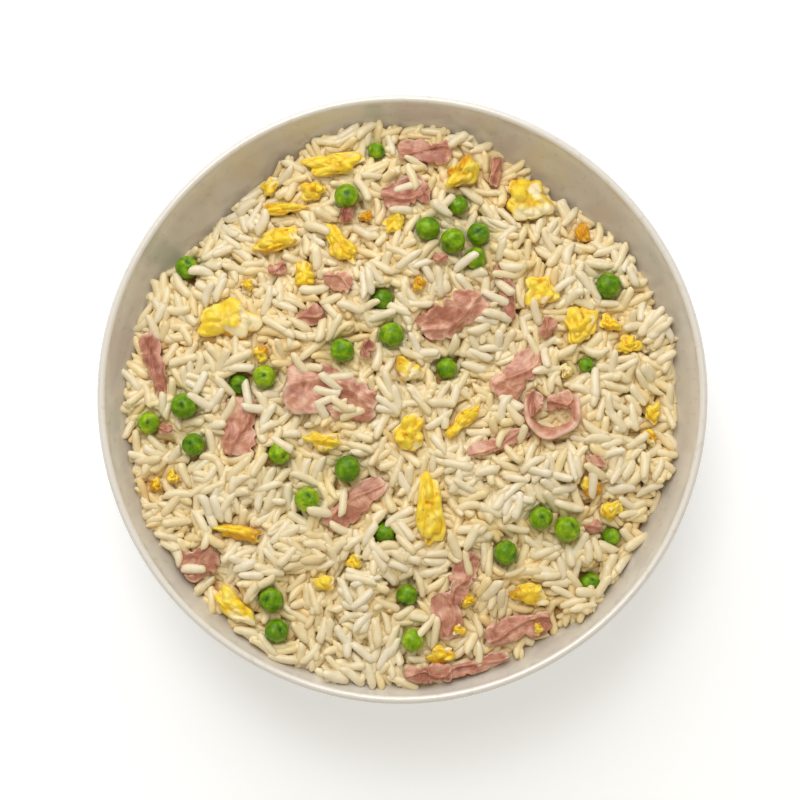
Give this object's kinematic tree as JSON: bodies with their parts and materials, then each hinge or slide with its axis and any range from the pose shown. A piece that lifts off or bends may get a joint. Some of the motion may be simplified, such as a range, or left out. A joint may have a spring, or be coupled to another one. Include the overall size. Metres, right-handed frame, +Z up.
{
  "type": "bowl of fried rice",
  "caption": "shallow round glazed bowl filled with fried long-grain rice, green peas, scrambled egg and torn ham, food and dish as one part",
  "frame": {"origin": "middle of the bowl's foot ring, at table height", "axes": "+Z up through the middle of the bowl, +Y to the top of the view from above, +X to its right"},
  "size_m": [0.2, 0.2, 0.0514],
  "materials": {
    "glaze": "glossy off-white glaze",
    "rice": "moist cooked grains, slightly glossy",
    "pea": "glossy wrinkled skin",
    "egg": "moist, with whiter streaks",
    "ham": "moist, fibrous, paler torn edges"
  },
  "bodies": {
    "root": {"bowl": "glaze", "rice_heap": "rice", "pea_01": "pea", "pea_02": "pea", "pea_03": "pea", "pea_04": "pea", "pea_05": "pea", "pea_06": "pea", "pea_07": "pea", "pea_08": "pea", "pea_09": "pea", "pea_10": "pea", "pea_11": "pea", "pea_12": "pea", "pea_13": "pea", "pea_14": "pea", "pea_15": "pea", "pea_16": "pea", "pea_17": "pea", "pea_18": "pea", "pea_19": "pea", "pea_20": "pea", "pea_21": "pea", "pea_22": "pea", "egg_01": "egg", "egg_02": "egg", "egg_03": "egg", "egg_04": "egg", "egg_05": "egg", "egg_06": "egg", "egg_07": "egg", "egg_08": "egg", "egg_09": "egg", "egg_10": "egg", "egg_11": "egg", "egg_12": "egg", "egg_13": "egg", "egg_14": "egg", "egg_15": "egg", "egg_16": "egg", "egg_17": "egg", "egg_18": "egg", "egg_19": "egg", "ham_01": "ham", "ham_02": "ham", "ham_03": "ham", "ham_04": "ham", "ham_05": "ham", "ham_06": "ham", "ham_07": "ham", "ham_08": "ham", "ham_09": "ham", "ham_10": "ham", "ham_11": "ham", "ham_12": "ham", "ham_13": "ham", "ham_14": "ham", "ham_15": "ham", "ham_16": "ham", "ham_17": "ham"}
  },
  "joints": []
}
